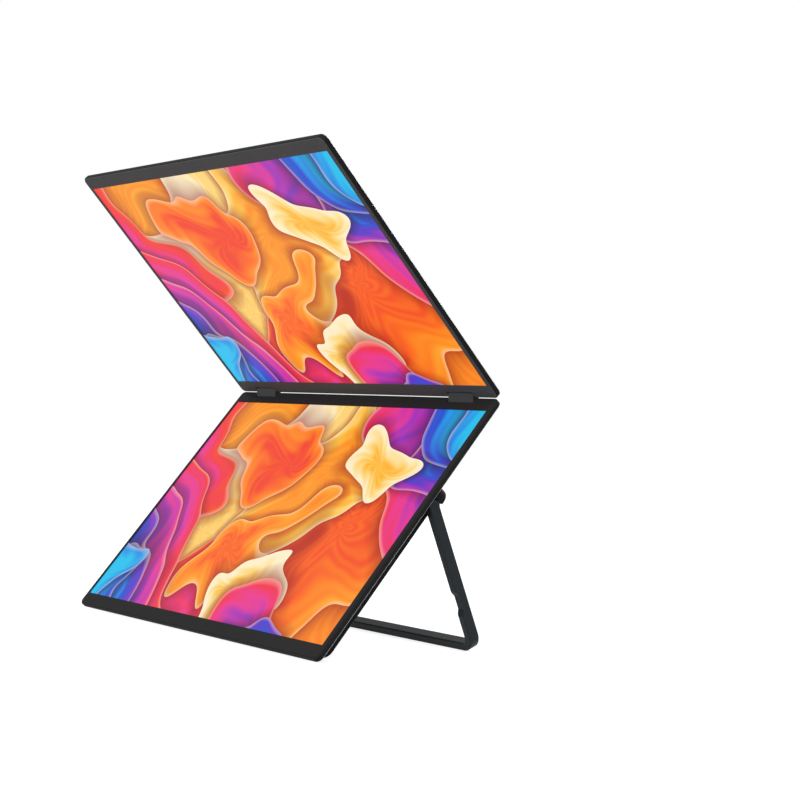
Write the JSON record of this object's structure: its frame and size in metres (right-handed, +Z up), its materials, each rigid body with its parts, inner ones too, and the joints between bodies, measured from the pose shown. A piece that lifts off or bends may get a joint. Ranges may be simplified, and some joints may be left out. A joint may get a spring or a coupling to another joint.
{
  "type": "stacked dual portable monitor",
  "caption": "Two thin 16 inch screens stacked on a double-pin crease hinge, with a rear electronics housing and a folding U-shaped stand.",
  "frame": {"origin": "bottom centre of the bounding box, on the surface that it stands on", "axes": "+Z up, screens face -Y, +X is on the right of someone who looks at the screens"},
  "size_m": [0.3532, 0.169, 0.3611],
  "materials": {
    "anodised_aluminium": "sandblasted black anodised aluminium with a bright-cut chamfer",
    "bezel_plastic": "fine textured dark grey plastic",
    "screen_glass": "lit display behind an anti-glare film",
    "light_guide": "white light guide and films",
    "circuit_board": "green glass-fibre board",
    "flex_film": "amber polyimide film",
    "bracket_steel": "stamped steel",
    "pin_steel": "ground steel",
    "screw_steel": "zinc plated steel",
    "housing_plastic": "moulded black ABS with fine texture",
    "socket_steel": "gold plated steel shell",
    "jack_plastic": "black nylon",
    "standoff_brass": "turned brass",
    "foot_rubber": "black silicone rubber",
    "bush_plastic": "natural acetal",
    "button_plastic": "black ABS",
    "hinge_metal": "dark grey painted zinc die casting",
    "stand_metal": "dark grey anodised aluminium"
  },
  "bodies": {
    "lower_screen": {"lower_back_cover": "anodised_aluminium", "lower_bezel": "bezel_plastic", "lower_screen_panel": "screen_glass", "lower_backlight": "light_guide", "lower_driver_board": "circuit_board", "lower_panel_flex": "flex_film", "lower_hinge_brackets": "bracket_steel", "lower_hinge_pins": "pin_steel", "lower_bracket_screws": "screw_steel", "rear_housing": "housing_plastic", "usb_c_sockets": "socket_steel", "mini_hdmi_sockets": "socket_steel", "audio_jack": "jack_plastic", "main_board": "circuit_board", "board_standoffs": "standoff_brass", "board_screws": "screw_steel", "button_board": "circuit_board", "rubber_feet": "foot_rubber", "stand_bushes": "bush_plastic"},
    "hinge_blocks": {"hinge_blocks": "hinge_metal", "friction_washers": "screw_steel"},
    "upper_screen": {"upper_back_cover": "anodised_aluminium", "upper_bezel": "bezel_plastic", "upper_screen_panel": "screen_glass", "upper_backlight": "light_guide", "upper_driver_board": "circuit_board", "upper_panel_flex": "flex_film", "upper_hinge_brackets": "bracket_steel", "upper_hinge_pins": "pin_steel", "upper_bracket_screws": "screw_steel"},
    "stand": {"stand_frame": "stand_metal", "stand_pins": "pin_steel"},
    "power_button": {"power_button": "button_plastic"},
    "menu_button": {"menu_button": "button_plastic"},
    "plus_button": {"plus_button": "button_plastic"},
    "minus_button": {"minus_button": "button_plastic"}
  },
  "joints": [
    {"name": "lower_hinge", "type": "hinge", "parent": "lower_screen", "child": "hinge_blocks", "pos_m": [0, 0.08151, 0.18323], "axis": [-1, 0, 0], "range_deg": [-48, 42]},
    {"name": "upper_hinge", "type": "hinge", "parent": "hinge_blocks", "child": "upper_screen", "pos_m": [0, 0.08129, 0.18962], "axis": [-1, 0, 0], "range_deg": [-48, 42]},
    {"name": "stand_hinge", "type": "hinge", "parent": "lower_screen", "child": "stand", "pos_m": [0, 0.02736, 0.10726], "axis": [1, 0, 0], "range_deg": [-57.6, 16.6]},
    {"name": "power_button_press", "type": "slide", "parent": "lower_screen", "child": "power_button", "axis": [-1, 0, 0], "range_m": [0, 0.0005], "stiffness_N_per_m": 3000},
    {"name": "menu_button_press", "type": "slide", "parent": "lower_screen", "child": "menu_button", "axis": [-1, 0, 0], "range_m": [0, 0.0005], "stiffness_N_per_m": 3000},
    {"name": "plus_button_press", "type": "slide", "parent": "lower_screen", "child": "plus_button", "axis": [-1, 0, 0], "range_m": [0, 0.0005], "stiffness_N_per_m": 3000},
    {"name": "minus_button_press", "type": "slide", "parent": "lower_screen", "child": "minus_button", "axis": [-1, 0, 0], "range_m": [0, 0.0005], "stiffness_N_per_m": 3000}
  ]
}
